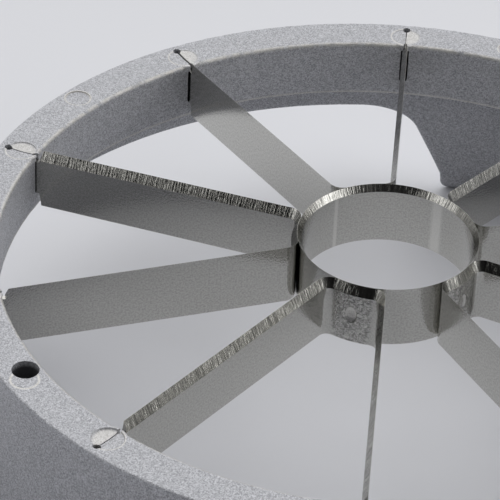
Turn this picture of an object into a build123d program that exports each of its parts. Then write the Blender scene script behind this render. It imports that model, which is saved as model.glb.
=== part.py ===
from build123d import *
import os
from math import asin, atan2, cos, degrees, radians, sin, sqrt, tan

# Hand-held apple slicer and corer, in millimetres.
# It stands upside down on its two handles, cutting edges up: +Z is up, the handles lie along X,
# and the origin is on the surface that it stands on, under the middle of the core ring.

# Frame casting: a ring with two handles, cast in one piece. Its outer wall leans out going down by
# the draft in degrees, and below the ring's body the wall steps back from the opening to a thin skirt.
casting_height = 28.0
overall_length = 175.0
ring_inner_radius = 50.0
ring_wall = 5.6
wall_draft = 4.5
body_depth = 8.1
skirt_depth = 13.8
skirt_thickness = 1.6
inner_edge_radius = 0.6
outer_edge_radius = 0.3

# Handles: each is a stretch of the skirt carried on down and turned outwards to a palm plate.
# Its sides rise straight a little way above the palm plate, then blend to lean out towards the ring.
handle_root_width = 89.5
handle_root_fillet = 4.4
handle_side_lean = 3.0
side_blend_start = 0.2
side_blend_radius = 1.0
palm_thickness = 2.5
palm_outer_fillet = 4.0
palm_inner_fillet = 1.5
palm_corner_radius = 16.0
edge_round = 0.5

# Blade slots in the ring, staked shut over the blades' tongues with a round punch.
# Each reach is measured outwards from the ring's inner wall. The staked gaps and the depths of the
# punch marks go round in turn.
slot_width = 1.15
slot_depth = 6.1
slot_reach = 4.2
slot_end_hole = 1.05
mouth_width = 0.5
mouth_reach = 0.6
staked_depth = 0.9
staked_gaps = [0.15, 0.12, 0.30, 0.20, 0.20]
punch_mark_depths = [0.30, 0.14, 0.14, 0.22, 0.22]
punch_mark_reach = 2.3
punch_nose_diameter = 3.9
punch_nose_rise = 0.1
punch_flank_slope = 60
bulge_width = 3.4
bulge_height = 0.35
bulge_depth = 1.2
bulge_edge_radius = 0.2

# Marks in the ring's top face
peg_hole_diameter = 3.45
peg_hole_depth = 6.0
peg_hole_reach = 2.2
ejector_mark_diameter = 3.5
ejector_mark_depth = 0.12
ejector_mark_reach = 3.2
ejector_mark_turn = 1.8

# Core ring: a short tube with its edge ground from inside
core_outer_radius = 11.65
core_wall = 0.6
core_height = 8.6
core_bevel_height = 0.9
core_edge_rise = 2.4
edge_flat = 0.05

# Blade strips: each is one strip, ground along one edge and bent into two blades and a seat on the core
strip_count = 5
blade_thickness = 0.7
blade_height = 8.5
blade_bevel_height = 1.3
blade_edge_rise = 0.6
blade_bend_radius = 1.15
blade_end_gap = 0.8
notch_gap = 0.5
tongue_root_gap = 0.5
tongue_end_gap = 0.35
tongue_clearance = 0.05
seat_clearance = 0.02

# Spot welds: one in the middle of each seat
weld_tall = 2.5
weld_wide = 1.6
weld_dent_depth = 0.12
weld_root = 0.35
weld_clearance = 0.01

ring_outer_radius = ring_inner_radius + ring_wall
body_bottom = casting_height - body_depth
skirt_bottom = casting_height - skirt_depth
palm_reach = overall_length / 2
palm_width = handle_root_width - 2 * handle_side_lean
slot_end_radius = ring_inner_radius + slot_reach
tongue_root_radius = ring_inner_radius - tongue_root_gap
punch_mark_radius = ring_inner_radius + punch_mark_reach
peg_hole_radius = ring_inner_radius + peg_hole_reach
ejector_mark_radius = ring_inner_radius + ejector_mark_reach
blade_count = 2 * strip_count
blade_pitch = 360 / blade_count
cut_margin = 1.0
level_tolerance = 0.05


def wall_radius(height):
    """Radius of the casting's outer wall at this height."""
    return ring_outer_radius + (casting_height - height) * tan(radians(wall_draft))


palm_root_radius = wall_radius(palm_thickness) + palm_outer_fillet


def polar_point(radius, angle, height):
    """A point at this radius and angle about the slicer's axis."""
    return Vector(radius * cos(radians(angle)), radius * sin(radians(angle)), height)


def upright_plane(angle):
    """The upright plane through the axis at this angle: x runs outwards and y runs up."""
    return Plane(origin=(0, 0, 0), x_dir=polar_point(1, angle, 0), z_dir=polar_point(1, angle - 90, 0))


def is_handle_edge(edge):
    """True for the sharp edges round the handles and under the ring, not for the smooth joins."""
    middle = edge.center()
    reach = sqrt(middle.X**2 + middle.Y**2)
    on_palm = reach > palm_root_radius
    smooth_root = edge.geom_type == GeomType.LINE and middle.Z > palm_thickness + level_tolerance
    smooth_corner = on_palm and abs(middle.Z - palm_thickness / 2) < palm_thickness / 4
    at_side = abs(middle.Y) > palm_width / 3 or reach > palm_reach - cut_margin
    below_ring = middle.Z < skirt_bottom + level_tolerance
    return below_ring and at_side and not smooth_root and not smooth_corner


# Frame casting
slot_angles = [blade_pitch * (index + 0.5) for index in range(blade_count)]
open_sectors = [blade_pitch * (2 * index + 1) for index in range(strip_count)]
peg_hole_angle = 180
slot_floor = casting_height - slot_depth
slot_round_level = slot_floor + slot_width / 2
staked_level = casting_height - staked_depth
slot_mouth = tongue_root_radius - cut_margin
slot_length = slot_end_radius - slot_mouth
slot_middle = (slot_end_radius + slot_mouth) / 2
mouth_end = ring_inner_radius + mouth_reach
mouth_length = mouth_end - slot_mouth
mouth_middle = (mouth_end + slot_mouth) / 2
blend_run = handle_side_lean - side_blend_radius
blend_climb = skirt_bottom - palm_thickness - side_blend_start
lean_angle = asin(side_blend_radius / sqrt(blend_run**2 + blend_climb**2)) + atan2(blend_run, blend_climb)
side_bend_rise = side_blend_start + side_blend_radius * tan(lean_angle / 2)
side_bend = (palm_width / 2, palm_thickness + side_bend_rise)
root_corner = (handle_root_width / 2, skirt_bottom)
bulge_angle = degrees(asin(bulge_width / 2 / ring_inner_radius))
bulge_root = ring_inner_radius + inner_edge_radius
bulge_tip = ring_inner_radius - bulge_height
bulge_levels = [(casting_height, bulge_tip), (casting_height - bulge_depth, bulge_root)]

# Staking pushes the ring's inner edge in a little at each slot: this is the bulge at the first one
with BuildPart() as staking_bulge:
    for level, tip_radius in bulge_levels:
        with BuildSketch(Plane.XY.offset(level)):
            with BuildLine():
                bulge_start = polar_point(bulge_root, slot_angles[0] - bulge_angle, 0)
                bulge_end = polar_point(bulge_root, slot_angles[0] + bulge_angle, 0)
                ThreePointArc(bulge_start, polar_point(tip_radius, slot_angles[0], 0), bulge_end)
                Polyline(bulge_end, polar_point(punch_mark_radius, slot_angles[0], 0), bulge_start)
            make_face()
    loft(ruled=True)
    bulge_crest = polar_point(bulge_tip, slot_angles[0], casting_height)
    fillet(staking_bulge.edges().sort_by_distance(bulge_crest)[0], radius=bulge_edge_radius)

# The staking punch, standing on its slightly domed nose
with BuildPart() as staking_punch:
    with BuildSketch(Plane.XZ):
        with BuildLine():
            nose_side = (punch_nose_diameter / 2, punch_nose_rise)
            flank_run = cut_margin / tan(radians(punch_flank_slope))
            flank_top = (nose_side[0] + flank_run, nose_side[1] + cut_margin)
            TangentArc((0, 0), nose_side, tangent=(1, 0))
            Polyline(nose_side, flank_top, (0, flank_top[1]), (0, 0))
        make_face()
    revolve(axis=Axis.Z)

with BuildPart() as frame_casting:
    with BuildSketch(Plane.XZ) as wall_section:
        inner_corner = (ring_inner_radius, casting_height)
        outer_corner = (ring_outer_radius, casting_height)
        palm_outer_corner = (wall_radius(palm_thickness), palm_thickness)
        palm_inner_corner = (wall_radius(0) - skirt_thickness, 0)
        with BuildLine():
            Polyline(
                inner_corner,
                outer_corner,
                palm_outer_corner,
                (palm_reach, palm_thickness),
                (palm_reach, 0),
                palm_inner_corner,
                (wall_radius(body_bottom) - skirt_thickness, body_bottom),
                (ring_inner_radius, body_bottom),
                close=True,
            )
        make_face()
        for corner, corner_radius in (
            (inner_corner, inner_edge_radius),
            (outer_corner, outer_edge_radius),
            (palm_outer_corner, palm_outer_fillet),
            (palm_inner_corner, palm_inner_fillet),
        ):
            fillet(wall_section.vertices().sort_by_distance(corner)[0], radius=corner_radius)
    revolve(axis=Axis.Z)

    # The wall is cut away between the handles, whose sides lean in towards the palm plates
    with BuildSketch(Plane.YZ) as side_window:
        with BuildLine():
            Polyline(
                (palm_width / 2, -cut_margin),
                side_bend,
                root_corner,
                (palm_reach + cut_margin, skirt_bottom),
                (palm_reach + cut_margin, -cut_margin),
                close=True,
            )
        make_face()
        fillet(side_window.vertices().sort_by_distance(root_corner)[0], radius=handle_root_fillet)
        fillet(side_window.vertices().sort_by_distance(side_bend)[0], radius=side_blend_radius)
        mirror(about=Plane.YZ)
    extrude(amount=palm_reach + cut_margin, both=True, mode=Mode.SUBTRACT)

    # The palm plates' corners, then every edge that the fingers meet
    palm_length = palm_reach - palm_root_radius
    palm_corners = frame_casting.edges().filter_by(Axis.Z).filter_by(
        lambda edge: abs(edge.center().X) > palm_root_radius
    )
    fillet(palm_corners, radius=min(palm_corner_radius, palm_length))
    fillet(frame_casting.edges().filter_by(is_handle_edge), radius=edge_round)

    with PolarLocations(0, blade_count):
        add(staking_bulge.part)

    # Slots with round floors
    with BuildSketch(Plane.XY.offset(staked_level)):
        with PolarLocations(slot_middle, blade_count, start_angle=slot_angles[0]):
            Rectangle(slot_length, slot_width)
    extrude(amount=slot_round_level - staked_level, mode=Mode.SUBTRACT)
    for angle in slot_angles:
        with BuildSketch(
            Plane(
                origin=polar_point(slot_mouth, angle, slot_round_level),
                x_dir=(0, 0, 1),
                z_dir=polar_point(1, angle, 0),
            )
        ):
            Circle(slot_width / 2)
    extrude(amount=slot_length, mode=Mode.SUBTRACT)

    # Each slot is closed to a hairline at the top, with an open mouth and a drilled hole at its outer end
    with BuildSketch(Plane.XY.offset(casting_height)):
        for index, angle in enumerate(slot_angles):
            with PolarLocations(slot_middle, 1, start_angle=angle):
                Rectangle(slot_length, staked_gaps[index % len(staked_gaps)])
    extrude(amount=-staked_depth, mode=Mode.SUBTRACT)
    with BuildSketch(Plane.XY.offset(casting_height)):
        with PolarLocations(mouth_middle, blade_count, start_angle=slot_angles[0]):
            Rectangle(mouth_length, mouth_width)
    extrude(amount=-staked_depth, mode=Mode.SUBTRACT)
    with BuildSketch(Plane.XY.offset(casting_height)):
        with PolarLocations(slot_end_radius, blade_count, start_angle=slot_angles[0]):
            Circle(slot_end_hole / 2)
    extrude(amount=slot_round_level - casting_height, mode=Mode.SUBTRACT)

    # Punch marks over the slots
    for index, angle in enumerate(slot_angles):
        punch_height = casting_height - punch_mark_depths[index % len(punch_mark_depths)]
        with Locations(polar_point(punch_mark_radius, angle, punch_height)):
            add(staking_punch.part, mode=Mode.SUBTRACT)

    # One blind peg hole over a handle, and the shallow marks of the ejector pins
    with BuildSketch(Plane.XY.offset(casting_height)):
        with Locations(polar_point(peg_hole_radius, peg_hole_angle, 0)):
            Circle(peg_hole_diameter / 2)
    extrude(amount=-peg_hole_depth, mode=Mode.SUBTRACT)
    ejector_angles = [angle + ejector_mark_turn for angle in open_sectors if angle != peg_hole_angle]
    with BuildSketch(Plane.XY.offset(casting_height)):
        with Locations([polar_point(ejector_mark_radius, angle, 0) for angle in ejector_angles]):
            Circle(ejector_mark_diameter / 2)
    extrude(amount=-ejector_mark_depth, mode=Mode.SUBTRACT)
frame_casting.part.label = "frame_casting"

# Spot weld places, in the middle of each strip's seat
strip_angles = [2 * blade_pitch * index for index in range(strip_count)]
core_edge = casting_height + core_edge_rise
core_inner_radius = core_outer_radius - core_wall
seat_inner_radius = core_outer_radius + seat_clearance
seat_outer_radius = seat_inner_radius + blade_thickness
weld_height = core_edge - core_height / 2
weld_inner_radius = core_outer_radius - weld_root
weld_ball_radius = ((weld_tall / 2) ** 2 + weld_dent_depth**2) / (2 * weld_dent_depth)


def weld_plane(angle, radius):
    """The plane across a weld at this radius, facing outwards."""
    return Plane(
        origin=polar_point(radius, angle, weld_height),
        x_dir=(0, 0, 1),
        z_dir=polar_point(1, angle, 0),
    )


# Core ring
with BuildPart() as core_ring:
    with BuildSketch(Plane.XZ):
        with BuildLine():
            Polyline(
                (core_outer_radius, core_edge),
                (core_outer_radius, core_edge - core_height),
                (core_inner_radius, core_edge - core_height),
                (core_inner_radius, core_edge - core_bevel_height),
                (core_outer_radius - edge_flat, core_edge),
                close=True,
            )
        make_face()
    revolve(axis=Axis.Z)
    for angle in strip_angles:
        with BuildSketch(weld_plane(angle, weld_inner_radius - weld_clearance)):
            Ellipse(weld_tall / 2 + weld_clearance, weld_wide / 2 + weld_clearance)
        extrude(amount=core_wall, mode=Mode.SUBTRACT)
core_ring.part.label = "core_ring"

# Blade strips
bend_centre_radius = blade_bend_radius + blade_thickness / 2
seat_radius = seat_inner_radius + blade_thickness / 2
bend_angle = degrees(asin(bend_centre_radius / (seat_radius + bend_centre_radius)))
blade_start = sqrt((seat_radius + bend_centre_radius) ** 2 - bend_centre_radius**2)
blade_edge = casting_height + blade_edge_rise
blade_end_radius = ring_inner_radius - blade_end_gap
notch_radius = ring_inner_radius - bulge_height - notch_gap
edge_slope = (core_edge - blade_edge) / (notch_radius - blade_start)
tongue_top = staked_level - tongue_clearance
tongue_rest = sqrt((slot_width / 2) ** 2 - (blade_thickness / 2) ** 2)
tongue_bottom = slot_round_level - tongue_rest + tongue_clearance
tongue_end = slot_end_radius - tongue_end_gap
blade_bottom = blade_edge - blade_height
blade_run = (slot_end_radius - blade_start) * sqrt(1 + edge_slope**2)


def strip_section(plane):
    """The strip's ground section: x points to the bevelled face, y runs up to the cutting edge."""
    half = blade_thickness / 2
    with BuildSketch(plane) as section:
        with BuildLine():
            Polyline(
                (-half, 0),
                (edge_flat - half, 0),
                (half, -blade_bevel_height),
                (half, -blade_height),
                (-half, -blade_height),
                close=True,
            )
        make_face()
    return section.sketch


blade_strips = []
for index, strip_angle in enumerate(strip_angles):
    blade_angle = strip_angle + blade_pitch / 2
    seat_end = blade_angle - bend_angle
    seat_section = strip_section(
        Plane(
            origin=polar_point(seat_radius, strip_angle, core_edge),
            x_dir=polar_point(1, strip_angle, 0),
            z_dir=polar_point(1, strip_angle - 90, 0),
        )
    )
    bend_section = strip_section(
        Plane(
            origin=polar_point(seat_radius, seat_end, core_edge),
            x_dir=polar_point(1, seat_end, 0),
            z_dir=polar_point(1, seat_end - 90, 0),
        )
    )
    blade_section = strip_section(
        Plane(
            origin=polar_point(blade_start, blade_angle, core_edge),
            x_dir=polar_point(1, blade_angle - 90, 0),
            z_dir=polar_point(-1, blade_angle, 0),
        )
    )
    bend_axis = Axis(polar_point(seat_radius + bend_centre_radius, seat_end, 0), (0, 0, -1))
    with BuildPart() as blade_strip:
        # Half of the seat round the core ring, the bend, and a blade whose edge falls to the ring
        revolve(seat_section, axis=Axis.Z, revolution_arc=seat_end - strip_angle)
        revolve(bend_section, axis=bend_axis, revolution_arc=90 - bend_angle)
        extrude(blade_section, amount=blade_run, dir=polar_point(1, blade_angle, -edge_slope))
        # Its end is trimmed to a notch under the staking, a tongue in the slot and a clear lower corner
        with BuildSketch(upright_plane(blade_angle)):
            with BuildLine():
                Polyline(
                    (notch_radius, blade_edge + cut_margin),
                    (notch_radius, blade_edge),
                    (tongue_root_radius, tongue_top),
                    (tongue_end, tongue_top),
                    (tongue_end, tongue_bottom),
                    (tongue_root_radius, tongue_bottom),
                    (blade_end_radius, blade_bottom),
                    (blade_end_radius, blade_bottom - cut_margin),
                    (slot_end_radius + cut_margin, blade_bottom - cut_margin),
                    (slot_end_radius + cut_margin, blade_edge + cut_margin),
                    close=True,
                )
            make_face()
        extrude(amount=blade_thickness, both=True, mode=Mode.SUBTRACT)
        mirror(about=upright_plane(strip_angle))
        # The spot weld goes through the middle of the seat
        with BuildSketch(weld_plane(strip_angle, weld_inner_radius)):
            Ellipse(weld_tall / 2 + weld_clearance, weld_wide / 2 + weld_clearance)
        extrude(amount=weld_root + 2 * blade_thickness, mode=Mode.SUBTRACT)
    blade_strip.part.label = f"blade_strip_{index + 1}"
    blade_strips.append(blade_strip.part)

# Spot welds: each joins a strip to the core ring and ends in the electrode's dent
with BuildPart() as spot_welds:
    for angle in strip_angles:
        with BuildSketch(weld_plane(angle, weld_inner_radius)):
            Ellipse(weld_tall / 2, weld_wide / 2)
        extrude(amount=seat_outer_radius - weld_inner_radius)
    weld_balls = [
        polar_point(seat_outer_radius - weld_dent_depth + weld_ball_radius, angle, weld_height)
        for angle in strip_angles
    ]
    with Locations(weld_balls):
        Sphere(weld_ball_radius, mode=Mode.SUBTRACT)
spot_welds.part.label = "spot_welds"

os.makedirs("parts", exist_ok=True)
for part in [frame_casting.part, core_ring.part, *blade_strips, spot_welds.part]:
    export_step(part, f"parts/{part.label}.step")
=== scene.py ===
import math

import bmesh
import bpy
from bpy.props import FloatProperty, FloatVectorProperty, IntProperty, PointerProperty, StringProperty
from mathutils import Matrix, Vector


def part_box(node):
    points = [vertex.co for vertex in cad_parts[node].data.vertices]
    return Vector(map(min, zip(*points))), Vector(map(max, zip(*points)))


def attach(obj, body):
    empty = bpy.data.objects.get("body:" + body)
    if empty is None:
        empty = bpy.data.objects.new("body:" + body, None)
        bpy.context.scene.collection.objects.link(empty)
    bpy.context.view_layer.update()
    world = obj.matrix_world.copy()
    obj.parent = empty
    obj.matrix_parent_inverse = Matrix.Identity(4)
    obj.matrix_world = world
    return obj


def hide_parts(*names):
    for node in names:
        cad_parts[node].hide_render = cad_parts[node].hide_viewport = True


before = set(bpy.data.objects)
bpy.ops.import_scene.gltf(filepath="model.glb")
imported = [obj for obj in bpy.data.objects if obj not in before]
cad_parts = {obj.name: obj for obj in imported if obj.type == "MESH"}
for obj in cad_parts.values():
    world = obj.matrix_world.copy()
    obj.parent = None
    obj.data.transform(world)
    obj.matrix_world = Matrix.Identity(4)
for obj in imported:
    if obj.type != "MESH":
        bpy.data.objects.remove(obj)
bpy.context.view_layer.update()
core_low, core_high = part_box("core_ring")
casting_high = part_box("frame_casting")[1]

bl_info = {
    "name": "Apple slicer",
    "version": (1, 0, 0),
    "blender": (4, 5, 0),
    "location": "View3D > Sidebar > Apple slicer",
    "description": "Coats the casting, forms the blades, core ring and welds, and lights the slicer",
    "category": "Object",
}

MM = 0.001
STRIP_COUNT = 5
BLADE_PITCH = math.pi / STRIP_COUNT

# The layout holds lengths along and across the metal, which the speckle and the scratches follow.
# The strips' layouts lie twice the spread apart, so that no two strips have the same marks.
STRIP_LAYOUT = "strip_layout"
STRIP_SPREAD = 0.2

# How finely each curve is drawn, and the angles in degrees past which an edge stays sharp
WELD_STEPS = 64
SEAT_STEPS = 16
BEND_STEPS = 32
BLADE_STEPS = 40
STEEL_SHARP = 25
WELD_SHARP = 35

# Order of a blade strip's and the core ring's materials
ROLLED = 0
GROUND = 1

# Colour sockets of a mix node
COLOUR_A = 6
COLOUR_B = 7
COLOUR_OUT = 2


class CoatSettings(bpy.types.PropertyGroup):
    """The casting's silver coat, the metal worn through it, and the painted highlights and shade on it."""

    coat_light: StringProperty(
        name="Coat light", description="sRGB hex of the coat's light grains", default="#CCCDD2"
    )
    coat_dark: StringProperty(
        name="Coat dark", description="sRGB hex of the coat's dark grains", default="#909196"
    )
    bare_and_highlight: StringProperty(
        name="Bare metal", description="sRGB hex of the burnished aluminium", default="#DCD8CF"
    )
    # Painted shade for the insides of the slots and holes
    hollow_shade: StringProperty(
        name="Hollow", description="sRGB hex inside the slots and holes", default="#545458"
    )
    grain: FloatProperty(
        name="Grain",
        description="Width of one grain of the coat",
        default=0.14 * MM,
        unit="LENGTH",
        precision=6,
    )
    edge_circle: FloatProperty(
        name="Edge circle", description="Radius of the ring's inner wall", default=50.0 * MM, unit="LENGTH"
    )
    body_depth: FloatProperty(
        name="Body depth",
        description="From the ring's top down to its lower inner edge",
        default=8.1 * MM,
        unit="LENGTH",
    )
    peg_circle: FloatProperty(
        name="Peg circle", description="Radius that the peg hole lies at", default=52.2 * MM, unit="LENGTH"
    )
    peg_hole: FloatProperty(
        name="Peg hole", description="Radius of the peg hole", default=1.74 * MM, unit="LENGTH"
    )
    slot_half: FloatProperty(
        name="Slot half", description="Half of a slot's width", default=0.58 * MM, unit="LENGTH"
    )
    slot_reach: FloatProperty(
        name="Slot reach",
        description="From the ring's inner wall past a slot's end hole",
        default=4.85 * MM,
        unit="LENGTH",
    )
    slot_depth: FloatProperty(
        name="Slot depth",
        description="From the ring's top past a slot's floor",
        default=6.2 * MM,
        unit="LENGTH",
    )
    punch_circle: FloatProperty(
        name="Punch circle",
        description="Radius of the circle that the punch marks lie on",
        default=52.3 * MM,
        unit="LENGTH",
    )
    punch_mark: FloatProperty(
        name="Punch mark", description="Radius of one punch mark", default=2.1 * MM, unit="LENGTH"
    )
    ejector_circle: FloatProperty(
        name="Ejector circle",
        description="Radius that the ejector marks lie at",
        default=53.2 * MM,
        unit="LENGTH",
    )
    ejector_mark: FloatProperty(
        name="Ejector mark", description="Radius of one ejector mark", default=1.75 * MM, unit="LENGTH"
    )
    ejector_turn: FloatProperty(
        name="Ejector turn",
        description="Of the ejector marks, on from midway between the slots",
        default=math.radians(1.8),
        unit="ROTATION",
    )


class StripSettings(bpy.types.PropertyGroup):
    """Sizes and finish of the bent blade strips."""

    thickness: FloatProperty(name="Thickness", description="Of the strip", default=0.7 * MM, unit="LENGTH")
    height: FloatProperty(
        name="Height", description="From cutting edge to lower edge", default=8.5 * MM, unit="LENGTH"
    )
    bevel_height: FloatProperty(
        name="Bevel height", description="Of the ground bevel", default=1.3 * MM, unit="LENGTH"
    )
    edge_flat: FloatProperty(
        name="Edge flat",
        description="Width left at the cutting edge",
        default=0.012 * MM,
        unit="LENGTH",
        precision=6,
    )
    corner_round: FloatProperty(
        name="Corner round", description="Of the lower corners", default=0.12 * MM, unit="LENGTH"
    )
    seat_gap: FloatProperty(
        name="Seat gap", description="Between the seat and the core ring", default=0.02 * MM, unit="LENGTH"
    )
    bend_radius: FloatProperty(
        name="Bend radius", description="Inside the bend", default=1.15 * MM, unit="LENGTH"
    )
    edge_fall: FloatProperty(
        name="Edge fall", description="Of the edge from core to ring, per unit of run", default=0.0504
    )
    notch_reach: FloatProperty(
        name="Notch reach", description="Radius where the edge ends", default=49.15 * MM, unit="LENGTH"
    )
    tongue_root: FloatProperty(
        name="Tongue root", description="Radius where the tongue starts", default=49.5 * MM, unit="LENGTH"
    )
    tongue_reach: FloatProperty(
        name="Tongue reach", description="Radius where the tongue ends", default=53.85 * MM, unit="LENGTH"
    )
    foot_reach: FloatProperty(
        name="Foot reach", description="Radius of the lower corner", default=49.2 * MM, unit="LENGTH"
    )
    notch_level: FloatProperty(
        name="Notch level", description="Height of the edge's end", default=28.6 * MM, unit="LENGTH"
    )
    tongue_top: FloatProperty(
        name="Tongue top", description="Height of the tongue's top", default=27.05 * MM, unit="LENGTH"
    )
    tongue_bottom: FloatProperty(
        name="Tongue bottom", description="Height of its lower side", default=22.07 * MM, unit="LENGTH"
    )
    foot_level: FloatProperty(
        name="Foot level", description="Height of the lower corner", default=20.1 * MM, unit="LENGTH"
    )
    steel: StringProperty(
        name="Steel", description="sRGB hex of the rolled stainless steel", default="#C2C1BC"
    )
    roughness: FloatProperty(
        name="Roughness", description="Of the rolled steel", default=0.14, subtype="FACTOR"
    )
    crumple: FloatProperty(
        name="Crumple",
        description="Height of the folds that the weld's heat leaves",
        default=0.12 * MM,
        unit="LENGTH",
        precision=6,
    )
    bevel_roughness: FloatProperty(
        name="Bevel roughness", description="Of the ground steel", default=0.12, subtype="FACTOR"
    )
    scratch_depth: FloatProperty(
        name="Scratch depth",
        description="Of the grinding scratches",
        default=0.07 * MM,
        unit="LENGTH",
        precision=6,
    )
    scratch_spacing: FloatProperty(
        name="Scratch spacing",
        description="Between grinding scratches on the bevel",
        default=0.25 * MM,
        unit="LENGTH",
        precision=6,
    )


class CoreSettings(bpy.types.PropertyGroup):
    """Sizes and finish of the core ring."""

    wall: FloatProperty(name="Wall", description="Of the tube", default=0.6 * MM, unit="LENGTH")
    bevel_height: FloatProperty(
        name="Bevel height", description="Of the edge ground from inside", default=0.9 * MM, unit="LENGTH"
    )
    edge_flat: FloatProperty(
        name="Edge flat",
        description="Width left at the cutting edge",
        default=0.012 * MM,
        unit="LENGTH",
        precision=6,
    )
    corner_round: FloatProperty(
        name="Corner round", description="Of the lower corners", default=0.1 * MM, unit="LENGTH"
    )
    facets: IntProperty(name="Facets", description="Round the tube", default=360, min=24)
    # Painted reflection: two upright light bands on the tube
    broad_reflection: FloatProperty(
        name="Broad streak",
        description="Where the broad polished streak lies",
        default=math.radians(20.8),
        unit="ROTATION",
    )
    broad_width: FloatProperty(
        name="Broad width", description="Of the broad streak", default=1.7 * MM, unit="LENGTH"
    )
    thin_reflection: FloatProperty(
        name="Thin streak",
        description="Where the thin polished streak lies",
        default=math.radians(93.9),
        unit="ROTATION",
    )
    thin_width: FloatProperty(
        name="Thin width", description="Of the thin streak", default=0.6 * MM, unit="LENGTH"
    )


class WeldSettings(bpy.types.PropertyGroup):
    """Sizes and finish of the spot welds."""

    tall: FloatProperty(
        name="Tall", description="Height of the electrode's dent", default=2.5 * MM, unit="LENGTH"
    )
    wide: FloatProperty(
        name="Wide", description="Width of the electrode's dent", default=1.6 * MM, unit="LENGTH"
    )
    dent: FloatProperty(
        name="Dent",
        description="Depth of the electrode's dent",
        default=0.16 * MM,
        unit="LENGTH",
        precision=6,
    )
    root: FloatProperty(
        name="Root", description="Depth of the weld in the core ring", default=0.35 * MM, unit="LENGTH"
    )
    gap: FloatProperty(
        name="Gap", description="Round the weld", default=0.01 * MM, unit="LENGTH", precision=6
    )
    steel: StringProperty(name="Steel", description="sRGB hex of the heated steel", default="#C4C2BD")
    roughness: FloatProperty(
        name="Roughness", description="Of the heated steel", default=0.22, subtype="FACTOR"
    )


class StageSettings(bpy.types.PropertyGroup):
    """Floor, light and camera."""

    floor: StringProperty(name="Floor", description="sRGB hex of the floor", default="#DCDDE2")
    floor_roughness: FloatProperty(
        name="Floor roughness", description="Of the paint", default=0.45, subtype="FACTOR"
    )
    floor_size: FloatProperty(name="Floor size", description="Side of the floor", default=5.0, unit="LENGTH")
    glow: FloatProperty(name="Glow", description="Light from the white sheet behind and above", default=1.33)
    glow_rise: FloatProperty(
        name="Glow rise",
        description="Of the sheet's middle above the horizon",
        default=math.radians(50),
        unit="ROTATION",
    )
    opening_turn: FloatProperty(
        name="Opening turn",
        description="From the camera's side round to the dark opening",
        default=math.radians(12),
        unit="ROTATION",
    )
    opening_rise: FloatProperty(
        name="Opening rise",
        description="Of the opening's middle above the horizon",
        default=math.radians(8),
        unit="ROTATION",
    )
    left_glow: FloatProperty(name="Left glow", description="Brightness of the left panel", default=1.15)
    right_glow: FloatProperty(name="Right glow", description="Brightness of the right panel", default=2.1)
    front_glow: FloatProperty(name="Front glow", description="Brightness of the front panel", default=0.6)
    front_panel: FloatVectorProperty(
        name="Front panel",
        description="Where the front panel hangs",
        default=(-0.155, -0.244, 0.373),
        subtype="XYZ",
    )
    front_size: FloatVectorProperty(
        name="Front panel size",
        description="Its width and height",
        default=(0.28, 0.2),
        size=2,
        subtype="XYZ",
    )
    left_panel: FloatVectorProperty(
        name="Left panel",
        description="Where the left panel stands",
        default=(-0.272, 0.058, 0.152),
        subtype="XYZ",
    )
    left_size: FloatVectorProperty(
        name="Left panel size",
        description="Its width and height",
        default=(0.14, 0.13),
        size=2,
        subtype="XYZ",
    )
    right_panel: FloatVectorProperty(
        name="Right panel",
        description="Where the right panel stands",
        default=(0.339, -0.305, 0.228),
        subtype="XYZ",
    )
    right_size: FloatVectorProperty(
        name="Right panel size",
        description="Its width and height",
        default=(0.27, 0.26),
        size=2,
        subtype="XYZ",
    )
    camera_turn: FloatProperty(
        name="Camera turn", description="Round the slicer", default=math.radians(-32.446), unit="ROTATION"
    )
    camera_rise: FloatProperty(
        name="Camera rise", description="Above the horizon", default=math.radians(35.79), unit="ROTATION"
    )
    camera_roll: FloatProperty(
        name="Camera roll",
        description="About the line of sight",
        default=math.radians(2.566),
        unit="ROTATION",
    )
    camera_place: FloatVectorProperty(
        name="Camera place",
        description="Where the lens is",
        default=(-0.186008, -0.259811, 0.257157),
        subtype="XYZ",
    )
    camera_lens: FloatProperty(name="Camera lens", description="Focal length in millimetres", default=220.4)


def linear(code):
    """The linear colour of an sRGB hex value."""
    channels = [int(code[place : place + 2], 16) / 255 for place in (1, 3, 5)]
    lit = [c / 12.92 if c <= 0.04045 else ((c + 0.055) / 1.055) ** 2.4 for c in channels]
    return (*lit, 1.0)


def add_node(tree, kind, inputs=None, stops=None, **settings):
    """Adds a node, sets its options and its ramp's stops, and sets or links its inputs."""
    node = tree.nodes.new(kind)
    for name, value in settings.items():
        setattr(node, name, value)
    for key, value in (inputs or {}).items():
        if isinstance(value, bpy.types.NodeSocket):
            tree.links.new(value, node.inputs[key])
        else:
            node.inputs[key].default_value = value
    if stops:
        ramp = node.color_ramp
        while len(ramp.elements) < len(stops):
            ramp.elements.new(1.0)
        for element, (place, colour) in zip(ramp.elements, stops):
            element.position = place
            element.color = colour
    return node


def start_material(name):
    """An empty node material and its tree."""
    material = bpy.data.materials.new(name)
    material.use_nodes = True
    material.node_tree.nodes.clear()
    return material, material.node_tree


def falling(value, full, gone):
    """Map Range inputs that turn a length into 1 up to the full value, falling to 0 at the gone one."""
    return {"Value": value, "From Min": full, "From Max": gone, "To Min": 1.0, "To Max": 0.0}


def rising(value, none, full):
    """Map Range inputs that turn a length into 0 up to the none value, rising to 1 at the full one."""
    return {"Value": value, "From Min": none, "From Max": full}


def shade(colour, share):
    """The linear colour of an sRGB hex value, darkened or lightened to this share."""
    return (*[channel * share for channel in linear(colour)[:3]], 1.0)


def grey(value):
    """A grey of this linear value."""
    return (value, value, value, 1.0)


def polar(radius, angle, height):
    """A point at this radius and angle about the slicer's axis."""
    return Vector((radius * math.cos(angle), radius * math.sin(angle), height))


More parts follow.
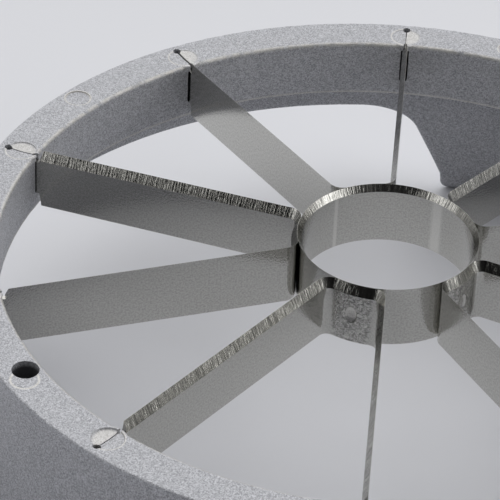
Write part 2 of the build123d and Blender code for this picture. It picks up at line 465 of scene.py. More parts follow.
def skin(rings, along, across, closed=False, kinds=None):
    """A mesh through rings of points, with the layout's lengths along the rings' row and across each ring."""
    mesh = bpy.data.meshes.new("skin")
    form = bmesh.new()
    layout = form.loops.layers.uv.new(STRIP_LAYOUT)
    rows = [[form.verts.new(point) for point in ring] for ring in rings]
    points = len(rings[0])
    spans = len(rings) if closed else len(rings) - 1
    for row in range(spans):
        upper = rows[row]
        lower = rows[(row + 1) % len(rings)]
        for place in range(points):
            after = (place + 1) % points
            face = form.faces.new((upper[place], upper[after], lower[after], lower[place]))
            face.material_index = kinds[place] if kinds else ROLLED
            corners = [(row, place), (row, after), (row + 1, after), (row + 1, place)]
            for loop, (step, spot) in zip(face.loops, corners):
                loop[layout].uv = (along[step], across[spot])
    if not closed:
        for end, row in ((0, rows[0]), (-1, rows[-1])):
            face = form.faces.new(row)
            for loop, spot in zip(face.loops, range(points)):
                loop[layout].uv = (along[end], across[spot])
    bmesh.ops.recalc_face_normals(form, faces=form.faces)
    form.to_mesh(mesh)
    form.free()
    return mesh


def place_mesh(name, mesh):
    """An object for this mesh, in the scene."""
    thing = bpy.data.objects.new(name, mesh)
    bpy.context.scene.collection.objects.link(thing)
    return thing


def cut_away(thing, cutters):
    """Cuts these meshes out of the object."""
    for mesh in cutters:
        cutter = place_mesh("cutter", mesh)
        cut = thing.modifiers.new("cut", "BOOLEAN")
        cut.operation = "DIFFERENCE"
        cut.solver = "EXACT"
        cut.object = cutter
    graph = bpy.context.evaluated_depsgraph_get()
    result = bpy.data.meshes.new_from_object(thing.evaluated_get(graph))
    for cut in list(thing.modifiers):
        bpy.data.objects.remove(cut.object)
    thing.modifiers.clear()
    thing.data = result


def smooth_faces(mesh, angle):
    """Shades the mesh smooth, but for edges sharper than this angle."""
    mesh.shade_smooth()
    mesh.set_sharp_from_angle(angle=math.radians(angle))


def rounded_corner(centre, radius, start, steps=4):
    """Points round a quarter circle, for a section's corner."""
    angles = [math.radians(start + 90 * step / steps) for step in range(steps + 1)]
    return [(centre[0] + radius * math.cos(a), centre[1] + radius * math.sin(a)) for a in angles]


def weld_cutter(strip_angle, reach):
    """The hole for a weld through a seat, from the weld's root outwards."""
    weld = bpy.context.scene.slicer_weld
    half_tall = weld.tall / 2 + weld.gap
    half_wide = weld.wide / 2 + weld.gap
    level = (core_low.z + core_high.z) / 2
    outwards = polar(1, strip_angle, 0)
    sideways = polar(1, strip_angle + math.pi / 2, 0)
    rings = []
    for run in (core_high.x - weld.root - weld.gap, core_high.x + reach):
        ring = []
        for step in range(WELD_STEPS):
            turn = 2 * math.pi * step / WELD_STEPS
            spot = outwards * run + sideways * (half_wide * math.cos(turn))
            spot.z = level + half_tall * math.sin(turn)
            ring.append(spot)
        rings.append(ring)
    return skin(rings, [0, reach], [0] * WELD_STEPS)


def rolled_steel(name, colour, roughness, crumple=0, reflection_streaks=()):
    """Cold-rolled stainless strip, crumpled by heat round its weld, or lightened in upright bands of painted
    reflection.
    """
    # Rolling leaves a satin mirror: it shows what stands round it, softened, under a faint speckle.
    # The speckle is drawn coarser than the real one so that it shows.
    speckle_width = 0.25 * MM
    line_length = 6 * MM
    line_width = 0.3 * MM
    material, tree = start_material(name)
    layout = add_node(tree, "ShaderNodeUVMap", uv_map=STRIP_LAYOUT)
    speckle = add_node(
        tree,
        "ShaderNodeTexNoise",
        {"Vector": layout.outputs["UV"], "Scale": 1 / speckle_width, "Detail": 2.0},
    )
    drawn = add_node(
        tree,
        "ShaderNodeMapping",
        {"Vector": layout.outputs["UV"], "Scale": (1 / line_length, 1 / line_width, 1.0)},
    )
    lines = add_node(tree, "ShaderNodeTexNoise", {"Vector": drawn.outputs[0], "Scale": 1.0, "Detail": 2.0})
    tone = add_node(
        tree,
        "ShaderNodeValToRGB",
        {"Fac": speckle.outputs["Fac"]},
        stops=[(0.34, shade(colour, 0.84)), (0.5, shade(colour, 1.0)), (0.66, shade(colour, 1.14))],
    )
    gloss = add_node(
        tree,
        "ShaderNodeMapRange",
        {"Value": speckle.outputs["Fac"], "To Min": roughness * 0.7, "To Max": roughness * 1.3},
    )
    rolled = add_node(
        tree, "ShaderNodeBump", {"Height": lines.outputs["Fac"], "Strength": 0.6, "Distance": 0.008 * MM}
    )
    pitted = add_node(
        tree,
        "ShaderNodeBump",
        {
            "Height": speckle.outputs["Fac"],
            "Strength": 0.7,
            "Distance": 0.02 * MM,
            "Normal": rolled.outputs["Normal"],
        },
    )
    base = tone.outputs["Color"]
    normal = pitted.outputs["Normal"]
    along = add_node(tree, "ShaderNodeSeparateXYZ", {"Vector": layout.outputs["UV"]})
    # Painted reflection: upright lighter bands at set places along the metal stand in for reflections of the
    # floor
    for middle, half_width in reflection_streaks:
        aside = add_node(tree, "ShaderNodeMath", {0: along.outputs["X"], 1: middle}, operation="SUBTRACT")
        off = add_node(tree, "ShaderNodeMath", {0: aside.outputs[0]}, operation="ABSOLUTE")
        reflection_share = add_node(
            tree,
            "ShaderNodeMapRange",
            {**falling(off.outputs[0], half_width * 0.6, half_width * 1.3), "To Min": 0.6},
        )
        reflection_painted = add_node(
            tree,
            "ShaderNodeMix",
            {"Factor": reflection_share.outputs["Result"], COLOUR_A: base, COLOUR_B: shade(colour, 1.5)},
            data_type="RGBA",
        )
        base = reflection_painted.outputs[COLOUR_OUT]
    if crumple:
        heat_reach = 2.1 * MM
        heat_end = 2.9 * MM
        fold_width = 0.4 * MM
        # Length along the strip from its own weld
        own = add_node(
            tree, "ShaderNodeMath", {0: along.outputs["X"], 1: STRIP_SPREAD}, operation="PINGPONG"
        )
        heated = add_node(tree, "ShaderNodeMapRange", falling(own.outputs[0], heat_reach, heat_end))
        folds = add_node(
            tree,
            "ShaderNodeTexNoise",
            {"Vector": layout.outputs["UV"], "Scale": 1 / fold_width, "Detail": 4.0, "Distortion": 1.0},
        )
        crumpled = add_node(
            tree,
            "ShaderNodeBump",
            {
                "Height": folds.outputs["Fac"],
                "Strength": heated.outputs["Result"],
                "Distance": crumple,
                "Normal": normal,
            },
        )
        mottle = add_node(
            tree,
            "ShaderNodeValToRGB",
            {"Fac": folds.outputs["Fac"]},
            stops=[(0.36, shade(colour, 0.5)), (0.5, shade(colour, 0.9)), (0.64, shade(colour, 1.25))],
        )
        mottled = add_node(
            tree,
            "ShaderNodeMix",
            {"Factor": heated.outputs["Result"], COLOUR_A: base, COLOUR_B: mottle.outputs["Color"]},
            data_type="RGBA",
        )
        base = mottled.outputs[COLOUR_OUT]
        normal = crumpled.outputs["Normal"]
    shader = add_node(
        tree,
        "ShaderNodeBsdfPrincipled",
        {"Base Color": base, "Metallic": 1.0, "Roughness": gloss.outputs["Result"], "Normal": normal},
    )
    add_node(tree, "ShaderNodeOutputMaterial", {"Surface": shader.outputs["BSDF"]})
    return material


def ground_bevel(name, strips):
    """Stainless steel off a coarse grinding wheel."""
    # Scratches run across the edge, and each one catches the light or the dark by itself; besides the steel's
    # own tone, their colour is painted much darker and lighter in turn, as painted shade and highlight for
    # that reflection
    colour = strips.steel
    spacing = strips.scratch_spacing
    stretch = 0.08
    slant = 0.02
    material, tree = start_material(name)
    layout = add_node(tree, "ShaderNodeUVMap", uv_map=STRIP_LAYOUT)
    across = add_node(
        tree,
        "ShaderNodeMapping",
        {
            "Vector": layout.outputs["UV"],
            "Scale": (1 / spacing, stretch / spacing, 1.0),
            "Rotation": (0, 0, slant),
        },
    )
    scratches = add_node(
        tree,
        "ShaderNodeTexNoise",
        {"Vector": across.outputs[0], "Scale": 1.0, "Detail": 3.0, "Roughness": 0.6},
    )
    tone = add_node(
        tree,
        "ShaderNodeValToRGB",
        {"Fac": scratches.outputs["Fac"]},
        stops=[(0.36, shade(colour, 0.45)), (0.5, shade(colour, 0.9)), (0.62, shade(colour, 1.12))],
    )
    relief = add_node(
        tree,
        "ShaderNodeBump",
        {"Height": scratches.outputs["Fac"], "Strength": 1.0, "Distance": strips.scratch_depth},
    )
    shader = add_node(
        tree,
        "ShaderNodeBsdfPrincipled",
        {
            "Base Color": tone.outputs["Color"],
            "Metallic": 1.0,
            "Roughness": strips.bevel_roughness,
            "Normal": relief.outputs["Normal"],
        },
    )
    add_node(tree, "ShaderNodeOutputMaterial", {"Surface": shader.outputs["BSDF"]})
    return material


def silver_coat(settings):
    """Cast aluminium under a sprayed silver coat."""
    # Fine light and dark grains all over; bare and bright where it is punched or rubbed, with painted
    # highlights on one half of each punch mark, on its other rim and along the inner edges; painted shade in
    # the slots and holes
    material, tree = start_material("cast_aluminium_sprayed_silver")
    place = add_node(tree, "ShaderNodeTexCoord")
    flakes = add_node(
        tree, "ShaderNodeTexVoronoi", {"Vector": place.outputs["Object"], "Scale": 1 / settings.grain}
    )
    flake = add_node(tree, "ShaderNodeSeparateColor", {"Color": flakes.outputs["Color"]})
    tone = add_node(
        tree,
        "ShaderNodeValToRGB",
        {"Fac": flake.outputs["Red"]},
        stops=[(0.0, linear(settings.coat_dark)), (1.0, linear(settings.coat_light))],
    )
    axes = add_node(tree, "ShaderNodeSeparateXYZ", {"Vector": place.outputs["Object"]})
    flat = add_node(tree, "ShaderNodeCombineXYZ", {"X": axes.outputs["X"], "Y": axes.outputs["Y"]})
    reach = add_node(tree, "ShaderNodeVectorMath", {0: flat.outputs[0]}, operation="LENGTH")
    depth = add_node(tree, "ShaderNodeMath", {0: casting_high.z, 1: axes.outputs["Z"]}, operation="SUBTRACT")
    turn = add_node(tree, "ShaderNodeMath", {0: axes.outputs["Y"], 1: axes.outputs["X"]}, operation="ARCTAN2")

    # Each slot's own place: how far sideways of it, outwards of the punch mark and below the top
    fold = add_node(tree, "ShaderNodeMath", {0: turn.outputs[0], 1: BLADE_PITCH}, operation="FLOORED_MODULO")
    offset = add_node(tree, "ShaderNodeMath", {0: fold.outputs[0], 1: BLADE_PITCH / 2}, operation="SUBTRACT")
    sideways = add_node(
        tree, "ShaderNodeMath", {0: offset.outputs[0], 1: settings.punch_circle}, operation="MULTIPLY"
    )
    outwards = add_node(
        tree, "ShaderNodeMath", {0: reach.outputs["Value"], 1: settings.punch_circle}, operation="SUBTRACT"
    )
    near = add_node(
        tree,
        "ShaderNodeCombineXYZ",
        {"X": sideways.outputs[0], "Y": outwards.outputs[0], "Z": depth.outputs[0]},
    )
    away = add_node(tree, "ShaderNodeVectorMath", {0: near.outputs[0]}, operation="LENGTH")
    punched = add_node(
        tree,
        "ShaderNodeMapRange",
        falling(away.outputs["Value"], settings.punch_mark * 0.8, settings.punch_mark * 1.02),
    )
    # Painted highlight: one half of each punch mark is made far barer than the other, the half where the
    # light falls
    highlight_half = add_node(
        tree,
        "ShaderNodeMapRange",
        {
            "Value": sideways.outputs[0],
            "From Min": -0.15 * MM,
            "From Max": 0.0,
            "To Min": 0.4,
            "To Max": 0.05,
        },
    )
    burnished_and_highlit = add_node(
        tree,
        "ShaderNodeMath",
        {0: punched.outputs["Result"], 1: highlight_half.outputs["Result"]},
        operation="MULTIPLY",
    )

    punch_gap = add_node(
        tree, "ShaderNodeMath", {0: away.outputs["Value"], 1: settings.punch_mark}, operation="SUBTRACT"
    )
    punch_rim_gap = add_node(tree, "ShaderNodeMath", {0: punch_gap.outputs[0]}, operation="ABSOLUTE")
    punch_rim = add_node(tree, "ShaderNodeMapRange", falling(punch_rim_gap.outputs[0], 0.05 * MM, 0.18 * MM))
    # Painted highlight: a light rim on the punch mark's other side only
    highlight_rim_side = add_node(
        tree,
        "ShaderNodeMapRange",
        {"Value": sideways.outputs[0], "From Min": 0.2 * MM, "From Max": 0.5 * MM, "To Max": 0.45},
    )
    highlight_rim = add_node(
        tree,
        "ShaderNodeMath",
        {0: punch_rim.outputs["Result"], 1: highlight_rim_side.outputs["Result"]},
        operation="MULTIPLY",
    )
    punch_bare_and_highlight = add_node(
        tree, "ShaderNodeMath", {0: burnished_and_highlit.outputs[0], 1: highlight_rim.outputs[0]}, operation="MAXIMUM"
    )

    # The rims of the ejector marks are rubbed bare
    sector = add_node(
        tree, "ShaderNodeMath", {0: turn.outputs[0], 1: 2 * BLADE_PITCH}, operation="FLOORED_MODULO"
    )
    sector_offset = add_node(
        tree,
        "ShaderNodeMath",
        {0: sector.outputs[0], 1: BLADE_PITCH + settings.ejector_turn},
        operation="SUBTRACT",
    )
    beside = add_node(
        tree,
        "ShaderNodeMath",
        {0: sector_offset.outputs[0], 1: settings.ejector_circle},
        operation="MULTIPLY",
    )
    beyond = add_node(
        tree, "ShaderNodeMath", {0: reach.outputs["Value"], 1: settings.ejector_circle}, operation="SUBTRACT"
    )
    around = add_node(
        tree,
        "ShaderNodeCombineXYZ",
        {"X": beside.outputs[0], "Y": beyond.outputs[0], "Z": depth.outputs[0]},
    )
    from_middle = add_node(tree, "ShaderNodeVectorMath", {0: around.outputs[0]}, operation="LENGTH")
    from_rim = add_node(
        tree,
        "ShaderNodeMath",
        {0: from_middle.outputs["Value"], 1: settings.ejector_mark},
        operation="SUBTRACT",
    )
    rim_gap = add_node(tree, "ShaderNodeMath", {0: from_rim.outputs[0]}, operation="ABSOLUTE")
    rim = add_node(tree, "ShaderNodeMapRange", falling(rim_gap.outputs[0], 0.08 * MM, 0.2 * MM))
    rim_share = add_node(tree, "ShaderNodeMath", {0: rim.outputs["Result"], 1: 0.5}, operation="MULTIPLY")

    # The upper inner edge is rubbed bare in patches, and that bare metal also paints the highlight along it;
    # the lower inner edge is painted evenly light all round, a painted highlight on the ledge's edge
    rub_inset = 0.2 * MM
    patch_width = 1.2 * MM
    edge_place = add_node(tree, "ShaderNodeCombineXYZ", {"X": reach.outputs["Value"], "Y": depth.outputs[0]})
    edge_away = add_node(
        tree,
        "ShaderNodeVectorMath",
        {0: edge_place.outputs[0], 1: (settings.edge_circle + rub_inset, rub_inset, 0.0)},
        operation="DISTANCE",
    )
    edge_near = add_node(tree, "ShaderNodeMapRange", falling(edge_away.outputs["Value"], 0.1 * MM, 0.4 * MM))
    lower_away = add_node(
        tree,
        "ShaderNodeVectorMath",
        {0: edge_place.outputs[0], 1: (settings.edge_circle, settings.body_depth, 0.0)},
        operation="DISTANCE",
    )
    painted_lower_highlight = add_node(
        tree,
        "ShaderNodeMapRange",
        {**falling(lower_away.outputs["Value"], 0.1 * MM, 0.35 * MM), "To Min": 0.5},
    )
    patches = add_node(
        tree,
        "ShaderNodeTexNoise",
        {"Vector": place.outputs["Object"], "Scale": 1 / patch_width, "Detail": 3.0},
    )
    patchy = add_node(
        tree,
        "ShaderNodeMapRange",
        {"Value": patches.outputs["Fac"], "From Min": 0.3, "From Max": 0.55, "To Max": 0.55},
    )
    rub_and_highlight = add_node(
        tree,
        "ShaderNodeMath",
        {0: edge_near.outputs["Result"], 1: patchy.outputs["Result"]},
        operation="MULTIPLY",
    )
    edges = add_node(
        tree, "ShaderNodeMath", {0: rub_and_highlight.outputs[0], 1: painted_lower_highlight.outputs["Result"]}, operation="MAXIMUM"
    )
    marks = add_node(
        tree, "ShaderNodeMath", {0: punch_bare_and_highlight.outputs[0], 1: rim_share.outputs[0]}, operation="MAXIMUM"
    )
    # Worn bare metal together with the painted highlights above
    bare_and_highlight = add_node(tree, "ShaderNodeMath", {0: marks.outputs[0], 1: edges.outputs[0]}, operation="MAXIMUM")

    # Painted shade: slots, end holes and the peg hole are darkened inside, below the top and above the slot
    # floors
    aside = add_node(tree, "ShaderNodeMath", {0: sideways.outputs[0]}, operation="ABSOLUTE")
    slot_edge = settings.slot_half + 0.06 * MM
    slot_end = settings.edge_circle + settings.slot_reach
    in_slot = add_node(tree, "ShaderNodeMapRange", falling(aside.outputs[0], settings.slot_half, slot_edge))
    behind_wall = add_node(
        tree,
        "ShaderNodeMapRange",
        rising(reach.outputs["Value"], settings.edge_circle, settings.edge_circle + 0.05 * MM),
    )
    within_ring = add_node(
        tree,
        "ShaderNodeMapRange",
        falling(reach.outputs["Value"], slot_end, slot_end + 0.1 * MM),
    )
    peg_away = add_node(
        tree,
        "ShaderNodeVectorMath",
        {0: flat.outputs[0], 1: (-settings.peg_circle, 0.0, 0.0)},
        operation="DISTANCE",
    )
    in_peg = add_node(
        tree,
        "ShaderNodeMapRange",
        falling(peg_away.outputs["Value"], settings.peg_hole, settings.peg_hole + 0.04 * MM),
    )
    slot_wall = add_node(
        tree,
        "ShaderNodeMath",
        {0: in_slot.outputs["Result"], 1: behind_wall.outputs["Result"]},
        operation="MULTIPLY",
    )
    slot_room = add_node(
        tree,
        "ShaderNodeMath",
        {0: slot_wall.outputs[0], 1: within_ring.outputs["Result"]},
        operation="MULTIPLY",
    )
    inside = add_node(
        tree, "ShaderNodeMath", {0: slot_room.outputs[0], 1: in_peg.outputs["Result"]}, operation="MAXIMUM"
    )
    deep = add_node(tree, "ShaderNodeMapRange", rising(depth.outputs[0], 0.4 * MM, 1.0 * MM))
    above_floor = add_node(
        tree,
        "ShaderNodeMapRange",
        falling(depth.outputs[0], settings.slot_depth, settings.slot_depth + 0.3 * MM),
    )
    below_top = add_node(
        tree,
        "ShaderNodeMath",
        {0: deep.outputs["Result"], 1: above_floor.outputs["Result"]},
        operation="MULTIPLY",
    )
    hollow_shade = add_node(
        tree, "ShaderNodeMath", {0: inside.outputs[0], 1: below_top.outputs[0]}, operation="MULTIPLY"
    )

    worn = add_node(
        tree,
        "ShaderNodeMix",
        {"Factor": bare_and_highlight.outputs[0], COLOUR_A: tone.outputs["Color"], COLOUR_B: linear(settings.bare_and_highlight)},
        data_type="RGBA",
    )
    colour = add_node(
        tree,
        "ShaderNodeMix",
        {"Factor": hollow_shade.outputs[0], COLOUR_A: worn.outputs[COLOUR_OUT], COLOUR_B: linear(settings.hollow_shade)},
        data_type="RGBA",
    )
    shine = add_node(tree, "ShaderNodeMapRange", {"Value": bare_and_highlight.outputs[0], "To Min": 0.3, "To Max": 0.9})
    gloss = add_node(tree, "ShaderNodeMapRange", {"Value": bare_and_highlight.outputs[0], "To Min": 0.5, "To Max": 0.3})
    strength = add_node(tree, "ShaderNodeMapRange", {"Value": bare_and_highlight.outputs[0], "To Min": 0.5, "To Max": 0.1})
    relief = add_node(
        tree,
        "ShaderNodeBump",
        {"Height": flakes.outputs["Distance"], "Strength": strength.outputs["Result"], "Distance": 0.1 * MM},
    )
    shader = add_node(
        tree,
        "ShaderNodeBsdfPrincipled",
        {
            "Base Color": colour.outputs[COLOUR_OUT],
            "Metallic": shine.outputs["Result"],
            "Roughness": gloss.outputs["Result"],
            "Normal": relief.outputs["Normal"],
        },
    )
    add_node(tree, "ShaderNodeOutputMaterial", {"Surface": shader.outputs["BSDF"]})
    return material


class SLICER_OT_coat_casting(bpy.types.Operator):
    """Gives the ring and handles their grainy silver coat"""

    bl_idname = "slicer.coat_casting"
    bl_label = "Coat the casting"

    def execute(self, context):
        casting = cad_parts["frame_casting"]
        casting.data.materials.clear()
        casting.data.materials.append(silver_coat(context.scene.slicer_coat))
        return {"FINISHED"}


class SLICER_OT_turn_core_ring(bpy.types.Operator):
    """Turns the core ring with its edge ground from inside"""

    bl_idname = "slicer.turn_core_ring"
    bl_label = "Turn the core ring"

    def execute(self, context):
        core = context.scene.slicer_core
        strips = context.scene.slicer_strips
        outer = core_high.x
        inner = outer - core.wall
        round_off = core.corner_round
        section = [
            (outer, core_high.z),
            (outer - core.edge_flat, core_high.z),
            (inner, core_high.z - core.bevel_height),
        ]
        section += rounded_corner((inner + round_off, core_low.z + round_off), round_off, 180)
        section += rounded_corner((outer - round_off, core_low.z + round_off), round_off, 270)
        kinds = [GROUND, GROUND] + [ROLLED] * (len(section) - 2)
        turns = [2 * math.pi * step / core.facets for step in range(core.facets + 1)]
        rings = [[polar(reach, turn, level) for reach, level in section] for turn in turns[:-1]]
        along = [turn * outer for turn in turns]
        across = [level for reach, level in section]
        thing = place_mesh("core_tube", skin(rings, along, across, closed=True, kinds=kinds))
        # Painted reflection: where the two upright light bands lie round the tube
        reflection_streaks = [
            (core.broad_reflection * outer, core.broad_width / 2),
            (core.thin_reflection * outer, core.thin_width / 2),
        ]
        drawn = rolled_steel("stainless_steel_drawn_tube", strips.steel, strips.roughness, reflection_streaks=reflection_streaks)
        thing.data.materials.append(drawn)
        thing.data.materials.append(ground_bevel("stainless_steel_ground_core_edge", strips))
        cut_away(thing, [weld_cutter(index * 2 * BLADE_PITCH, core.wall) for index in range(STRIP_COUNT)])
        smooth_faces(thing.data, STEEL_SHARP)
        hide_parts("core_ring")
        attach(thing, "root")
        return {"FINISHED"}


def strip_half_path(strips):
    """Half of a strip's centre line: length along, place, heading and how far the edge has fallen."""
    seat = core_high.x + strips.seat_gap + strips.thickness / 2
    bend = strips.bend_radius + strips.thickness / 2
    bend_start = BLADE_PITCH / 2 - math.asin(bend / (seat + bend))
    bend_turn = math.pi / 2 - (BLADE_PITCH / 2 - bend_start)
    blade_start = math.sqrt((seat + bend) ** 2 - bend**2)
    stations = []
    for step in range(SEAT_STEPS + 1):
        turn = bend_start * step / SEAT_STEPS
        stations.append((seat * turn, polar(seat, turn, 0), turn + math.pi / 2, 0.0))
    run = seat * bend_start
    centre = polar(seat + bend, bend_start, 0)
    for step in range(1, BEND_STEPS + 1):
        turn = bend_turn * step / BEND_STEPS
        spot = centre + polar(bend, bend_start + math.pi - turn, 0)
        stations.append((run + bend * turn, spot, bend_start + math.pi / 2 - turn, 0.0))
    run += bend * bend_turn
    blade_run = strips.tongue_reach + strips.thickness - blade_start
    for step in range(1, BLADE_STEPS + 1):
        reach = blade_run * step / BLADE_STEPS
        spot = polar(blade_start + reach, BLADE_PITCH / 2, 0)
        stations.append((run + reach, spot, BLADE_PITCH / 2, strips.edge_fall * reach))
    return stations


def strip_end_cutter(strips, side):
    """What is trimmed off a blade's end: a notch above the tongue and a corner below it."""
    margin = 3 * strips.thickness
    beyond = strips.tongue_reach + margin
    above = core_high.z + strips.thickness
    below = strips.foot_level - margin
    outline = [
        (strips.notch_reach, above),
        (strips.notch_reach, strips.notch_level),
        (strips.tongue_root, strips.tongue_top),
        (strips.tongue_reach, strips.tongue_top),
        (strips.tongue_reach, strips.tongue_bottom),
        (strips.tongue_root, strips.tongue_bottom),
        (strips.foot_reach, strips.foot_level),
        (strips.foot_reach, below),
        (beyond, below),
        (beyond, above),
    ]
    angle = side * BLADE_PITCH / 2
    aside = polar(strips.thickness, angle + math.pi / 2, 0)
    rings = [[polar(reach, angle, level) + aside * way for reach, level in outline] for way in (-1, 1)]
    return skin(rings, [0, 1], [0] * len(outline))


class SLICER_OT_bend_blade_strips(bpy.types.Operator):
    """Bends the five ground strips, each to two blades and a seat on the core ring"""

    bl_idname = "slicer.bend_blade_strips"
    bl_label = "Bend the blade strips"

    def execute(self, context):
        strips = context.scene.slicer_strips
        half = strips.thickness / 2
        round_off = strips.corner_round
        section = [(-half, 0.0), (strips.edge_flat - half, 0.0), (half, -strips.bevel_height)]
        corner_level = -strips.height + round_off
        section += list(reversed(rounded_corner((half - round_off, corner_level), round_off, 270)))
        section += list(reversed(rounded_corner((-half + round_off, corner_level), round_off, 180)))
        kinds = [GROUND, GROUND] + [ROLLED] * (len(section) - 2)
        ahead = strip_half_path(strips)
        behind = [
            (-run, Vector((spot.x, -spot.y, 0)), math.pi - heading, fall)
            for run, spot, heading, fall in reversed(ahead[1:])
        ]
        rings = []
        along = []
        for run, spot, heading, fall in behind + ahead:
            facing = Vector((math.sin(heading), -math.cos(heading), 0))
            edge = core_high.z - fall
            rings.append([spot + facing * out + Vector((0, 0, edge + rise)) for out, rise in section])
            along.append(run)
        across = [rise for out, rise in section]
        first = place_mesh("bent_blade_strip_1", skin(rings, along, across, kinds=kinds))
        rolled = rolled_steel(
            "stainless_steel_cold_rolled", strips.steel, strips.roughness, crumple=strips.crumple
        )
        first.data.materials.append(rolled)
        first.data.materials.append(ground_bevel("stainless_steel_ground_blade_edge", strips))
        ends = [strip_end_cutter(strips, side) for side in (1, -1)]
        cut_away(first, ends + [weld_cutter(0, 3 * strips.thickness)])
        smooth_faces(first.data, STEEL_SHARP)
        for index in range(STRIP_COUNT):
            if index == 0:
                thing = first
            else:
                mesh = first.data.copy()
                mesh.transform(Matrix.Rotation(index * 2 * BLADE_PITCH, 4, "Z"))
                for loop in mesh.uv_layers[STRIP_LAYOUT].data:
                    loop.uv.x += 2 * index * STRIP_SPREAD
                thing = place_mesh(f"bent_blade_strip_{index + 1}", mesh)
            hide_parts(f"blade_strip_{index + 1}")
            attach(thing, "root")
        return {"FINISHED"}


class SLICER_OT_spot_welds(bpy.types.Operator):
    """Makes the spot welds that hold the strips to the core ring"""

    bl_idname = "slicer.spot_welds"
    bl_label = "Make the spot welds"

    def execute(self, context):
        weld = context.scene.slicer_weld
        strips = context.scene.slicer_strips
        seat = core_high.x + strips.seat_gap + strips.thickness
        half_tall = weld.tall / 2
        half_wide = weld.wide / 2
        level = (core_low.z + core_high.z) / 2
        heated = rolled_steel("stainless_steel_spot_welded", weld.steel, weld.roughness)
        # From the middle of the dent out to its rim, just under the seat's face, and then in to the root
        shares = (0.02, 0.3, 0.45, 0.6, 0.7, 0.8, 0.88, 0.94)
        rim_sink = 0.02 * weld.dent
        profile = [(share, -weld.dent * (1 - share**4)) for share in shares]
        profile.append((1, -rim_sink))
        profile.append((1, core_high.x - weld.root - seat))
        for index in range(STRIP_COUNT):
            angle = index * 2 * BLADE_PITCH
            rings = []
            for share, depth in profile:
                ring = []
                for step in range(WELD_STEPS):
                    turn = 2 * math.pi * step / WELD_STEPS
                    sideways = share * half_wide * math.cos(turn) / seat
                    height = level + share * half_tall * math.sin(turn)
                    ring.append(polar(seat + depth, angle + sideways, height))
                rings.append(ring)
            along = [share * half_tall for share, depth in profile]
            across = [half_tall * math.sin(2 * math.pi * step / WELD_STEPS) for step in range(WELD_STEPS)]
            thing = place_mesh(f"spot_weld_{index + 1}", skin(rings, along, across))
            thing.data.materials.append(heated)
            smooth_faces(thing.data, WELD_SHARP)
            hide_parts("spot_welds")
            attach(thing, "root")
        return {"FINISHED"}


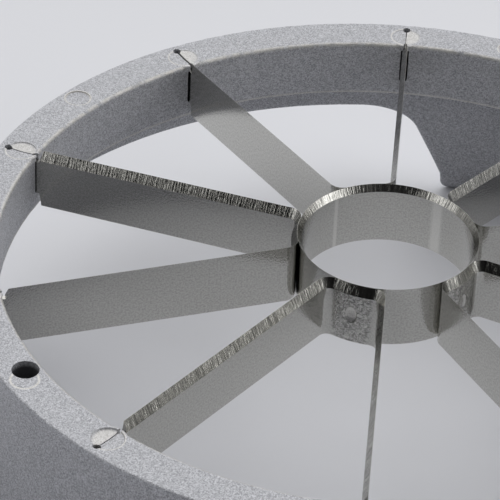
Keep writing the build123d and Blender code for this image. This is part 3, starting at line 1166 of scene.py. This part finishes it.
class SLICER_OT_light_stage(bpy.types.Operator):
    """Lays the floor, hangs the lamps and sets the camera"""

    bl_idname = "slicer.light_stage"
    bl_label = "Light the stage"

    def execute(self, context):
        stage = context.scene.slicer_stage
        half = stage.floor_size / 2
        floor_mesh = bpy.data.meshes.new("pale_floor")
        corners = [(-half, -half, 0), (half, -half, 0), (half, half, 0), (-half, half, 0)]
        floor_mesh.from_pydata(corners, [], [(0, 1, 2, 3)])
        floor = place_mesh("pale_floor", floor_mesh)
        # Rolled-on paint is pale and even, and gives back a soft image of what stands on it
        material, tree = start_material("painted_board_matt")
        shader = add_node(
            tree,
            "ShaderNodeBsdfPrincipled",
            {"Base Color": linear(stage.floor), "Roughness": stage.floor_roughness},
        )
        add_node(tree, "ShaderNodeOutputMaterial", {"Surface": shader.outputs["BSDF"]})
        floor_mesh.materials.append(material)

        world = bpy.data.worlds.new("studio")
        context.scene.world = world
        world.use_nodes = True
        tree = world.node_tree
        tree.nodes.clear()
        # A white sheet hangs behind and above in a grey room, with a dark opening on the camera's side
        turn = stage.camera_turn
        opening_turn = turn - stage.opening_turn
        lean = stage.opening_rise
        climb = stage.glow_rise
        glow_way = (-math.sin(turn) * math.cos(climb), math.cos(turn) * math.cos(climb), math.sin(climb))
        opening_way = (
            math.sin(opening_turn) * math.cos(lean),
            -math.cos(opening_turn) * math.cos(lean),
            math.sin(lean),
        )
        sight = add_node(tree, "ShaderNodeTexCoord")
        to_glow = add_node(
            tree,
            "ShaderNodeVectorMath",
            {0: sight.outputs["Generated"], 1: glow_way},
            operation="DOT_PRODUCT",
        )
        to_opening = add_node(
            tree,
            "ShaderNodeVectorMath",
            {0: sight.outputs["Generated"], 1: opening_way},
            operation="DOT_PRODUCT",
        )
        sheet = add_node(
            tree,
            "ShaderNodeValToRGB",
            {"Fac": to_glow.outputs["Value"]},
            stops=[(0.15, grey(0.16)), (0.42, grey(0.3)), (0.64, grey(0.8)), (0.82, grey(1.0))],
        )
        opening = add_node(
            tree,
            "ShaderNodeValToRGB",
            {"Fac": to_opening.outputs["Value"]},
            stops=[(0.5, grey(1.0)), (0.71, grey(0.25)), (0.84, grey(0.1)), (0.93, grey(0.05))],
        )
        room = add_node(
            tree,
            "ShaderNodeMix",
            {"Factor": 1.0, COLOUR_A: sheet.outputs["Color"], COLOUR_B: opening.outputs["Color"]},
            data_type="RGBA",
            blend_type="MULTIPLY",
        )
        background = add_node(
            tree, "ShaderNodeBackground", {"Color": room.outputs[COLOUR_OUT], "Strength": stage.glow}
        )
        add_node(tree, "ShaderNodeOutputWorld", {"Surface": background.outputs["Background"]})

        panels = (
            ("left_panel", stage.left_panel, stage.left_size, stage.left_glow),
            ("right_panel", stage.right_panel, stage.right_size, stage.right_glow),
            ("front_panel", stage.front_panel, stage.front_size, stage.front_glow),
        )
        for name, spot, size, glow in panels:
            lamp = bpy.data.lights.new(name, "AREA")
            lamp.shape = "RECTANGLE"
            lamp.size, lamp.size_y = size
            lamp.energy = glow * math.pi * size[0] * size[1]
            panel = bpy.data.objects.new(name, lamp)
            panel.location = spot
            aim = Vector((0, 0, casting_high.z)) - panel.location
            panel.rotation_euler = aim.to_track_quat("-Z", "Y").to_euler()
            context.scene.collection.objects.link(panel)

        rise = stage.camera_rise
        roll = stage.camera_roll
        back = Vector((math.sin(turn) * math.cos(rise), -math.cos(turn) * math.cos(rise), math.sin(rise)))
        right = Vector((0, 0, 1)).cross(back).normalized()
        up = back.cross(right)
        tilted_right = right * math.cos(roll) + up * math.sin(roll)
        tilted_up = up * math.cos(roll) - right * math.sin(roll)
        lens = bpy.data.cameras.new("camera")
        lens.lens = stage.camera_lens
        lens.clip_start = 10 * MM
        camera = bpy.data.objects.new("camera", lens)
        axes = Matrix((tilted_right, tilted_up, back)).transposed().to_4x4()
        camera.matrix_world = Matrix.Translation(stage.camera_place) @ axes
        context.scene.collection.objects.link(camera)
        context.scene.camera = camera
        context.scene.view_settings.view_transform = "Standard"
        return {"FINISHED"}


class SLICER_PT_sidebar(bpy.types.Panel):
    """Lists the slicer's steps in the 3D view's sidebar"""

    bl_idname = "SLICER_PT_sidebar"
    bl_label = "Apple slicer"
    bl_space_type = "VIEW_3D"
    bl_region_type = "UI"
    bl_category = "Apple slicer"

    def draw(self, context):
        for step in STEPS:
            self.layout.operator(step.bl_idname)


SETTINGS = {
    "slicer_coat": CoatSettings,
    "slicer_strips": StripSettings,
    "slicer_core": CoreSettings,
    "slicer_weld": WeldSettings,
    "slicer_stage": StageSettings,
}
STEPS = [
    SLICER_OT_coat_casting,
    SLICER_OT_turn_core_ring,
    SLICER_OT_bend_blade_strips,
    SLICER_OT_spot_welds,
    SLICER_OT_light_stage,
]


def register():
    for name, group in SETTINGS.items():
        bpy.utils.register_class(group)
        setattr(bpy.types.Scene, name, PointerProperty(type=group))
    for step in STEPS:
        bpy.utils.register_class(step)
    bpy.utils.register_class(SLICER_PT_sidebar)


def unregister():
    bpy.utils.unregister_class(SLICER_PT_sidebar)
    for step in reversed(STEPS):
        bpy.utils.unregister_class(step)
    for name, group in reversed(SETTINGS.items()):
        delattr(bpy.types.Scene, name)
        bpy.utils.unregister_class(group)


def main():
    register()
    bpy.ops.slicer.coat_casting()
    bpy.ops.slicer.turn_core_ring()
    bpy.ops.slicer.bend_blade_strips()
    bpy.ops.slicer.spot_welds()
    bpy.ops.slicer.light_stage()


if __name__ == "__main__":
    main()
